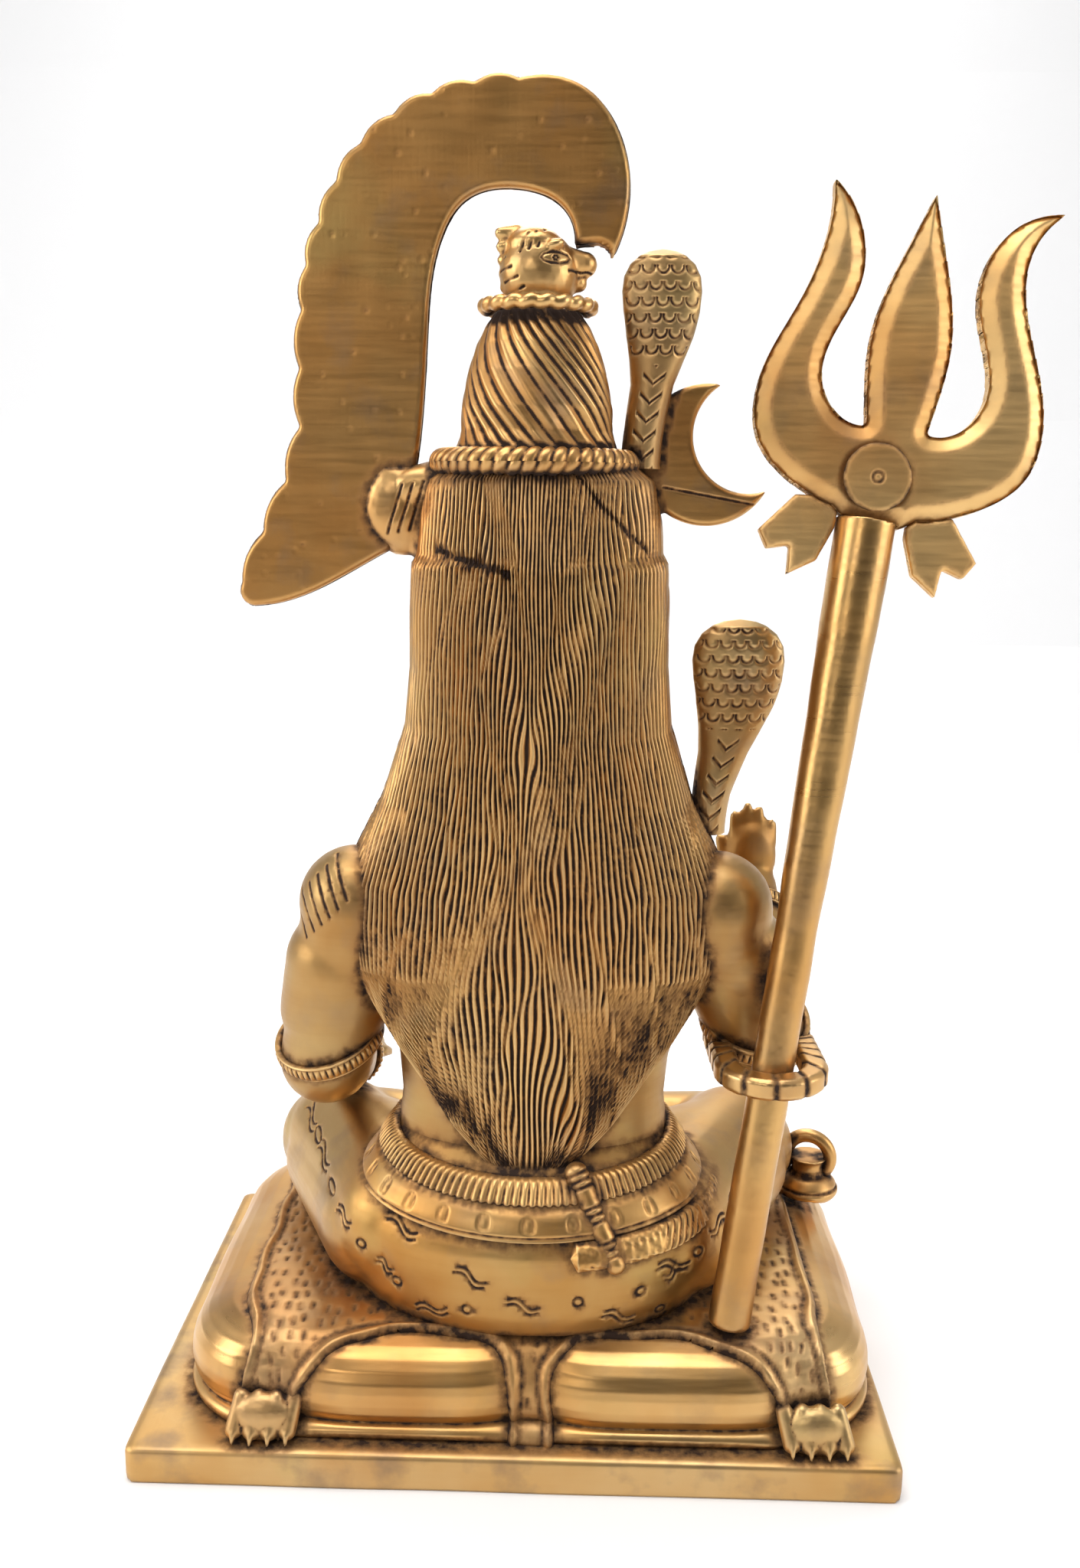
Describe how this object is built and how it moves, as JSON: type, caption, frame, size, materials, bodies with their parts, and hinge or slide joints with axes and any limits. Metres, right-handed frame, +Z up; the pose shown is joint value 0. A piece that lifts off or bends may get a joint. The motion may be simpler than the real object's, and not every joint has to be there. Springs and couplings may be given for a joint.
{
  "type": "seated deity statue",
  "caption": "Cast brass seated figure on a rectangular plinth, with long hair, a water arch, cobras and a lift-out trident.",
  "frame": {"origin": "middle of the plinth's underside", "axes": "+Z up; the figure faces -Y; its left hand is at +X and the trident stands at -X, at its right"},
  "size_m": [0.2083, 0.1265, 0.3139],
  "materials": {
    "brass_figure": "satin, hand filed and buffed",
    "brass_hair": "carved, dark patina in the grooves",
    "brass_seat": "satin, stained",
    "brass_trident": "satin, filed facets"
  },
  "bodies": {
    "statue": {"animal_skin": "brass_seat", "belt_band": "brass_figure", "belt_cord": "brass_figure", "belt_tie": "brass_figure", "crescent_moon": "brass_figure", "crown_cobra": "brass_figure", "garland": "brass_figure", "hair_mane": "brass_hair", "head": "brass_figure", "headband": "brass_hair", "left_arm": "brass_figure", "left_arm_band": "brass_figure", "left_bracelet": "brass_figure", "left_earring": "brass_figure", "left_foot": "brass_figure", "lower_body": "brass_figure", "neck_coil": "brass_figure", "plinth": "brass_seat", "pot_handle": "brass_figure", "right_arm": "brass_figure", "right_arm_band": "brass_figure", "right_bracelet": "brass_figure", "right_earring": "brass_figure", "right_foot": "brass_figure", "sash": "brass_figure", "seat_cushion": "brass_seat", "shoulder_cobra": "brass_figure", "skin_head": "brass_seat", "spout_head": "brass_figure", "stream_lug": "brass_hair", "topknot": "brass_hair", "topknot_cord": "brass_hair", "torso": "brass_figure", "trident_loop": "brass_figure", "water_pot": "brass_figure", "water_stream": "brass_figure"},
    "trident": {"drum_shell": "brass_trident", "drum_skin_back": "brass_trident", "drum_skin_front": "brass_trident", "ribbon_left": "brass_trident", "ribbon_right": "brass_trident", "trident_head": "brass_trident", "trident_shaft": "brass_trident"}
  },
  "joints": [
    {"name": "trident_lift", "type": "slide", "parent": "statue", "child": "trident", "axis": [-0.1429, -0.1395, 0.9799], "range_m": [0, 0.075]}
  ]
}
